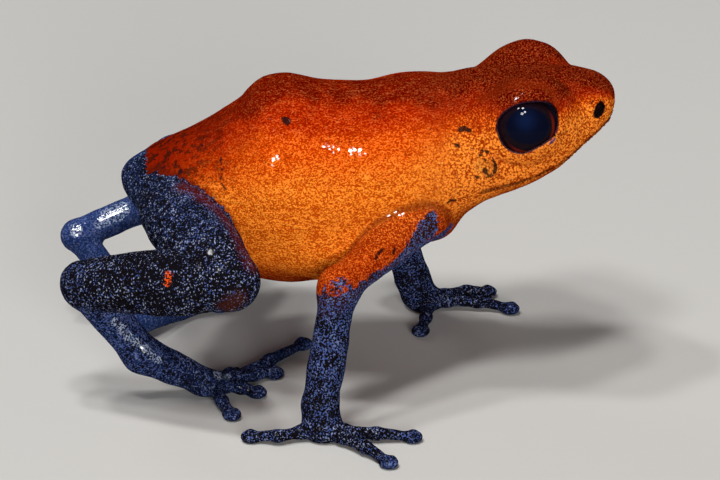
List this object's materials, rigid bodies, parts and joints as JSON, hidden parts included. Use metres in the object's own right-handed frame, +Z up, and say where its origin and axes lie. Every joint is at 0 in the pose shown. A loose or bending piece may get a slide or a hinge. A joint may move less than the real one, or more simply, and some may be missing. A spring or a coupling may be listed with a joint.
{
  "type": "poison dart frog",
  "caption": "Still, life-size small frog standing high on its arms, hind legs folded: orange-red head and body, blue-black legs, dark glossy eyes.",
  "frame": {"origin": "on the floor, under the middle of the whole frog's box", "axes": "+X forward along the backbone, +Y the frog's left, +Z up"},
  "size_m": [0.0248, 0.0204, 0.0147],
  "materials": {
    "skin_orange": "moist granular skin, satin",
    "skin_blue": "moist dark skin with pale blue flecks, satin",
    "eye": "wet, mirror gloss"
  },
  "bodies": {
    "root": {"head": "skin_orange", "torso": "skin_orange", "eye_right": "eye", "eye_left": "eye", "upper_arm_right": "skin_orange", "forearm_right": "skin_blue", "hand_right": "skin_blue", "thigh_right": "skin_blue", "shank_right": "skin_blue", "tarsus_right": "skin_blue", "foot_right": "skin_blue", "upper_arm_left": "skin_orange", "forearm_left": "skin_blue", "hand_left": "skin_blue", "thigh_left": "skin_blue", "shank_left": "skin_blue", "tarsus_left": "skin_blue", "foot_left": "skin_blue"}
  },
  "joints": []
}
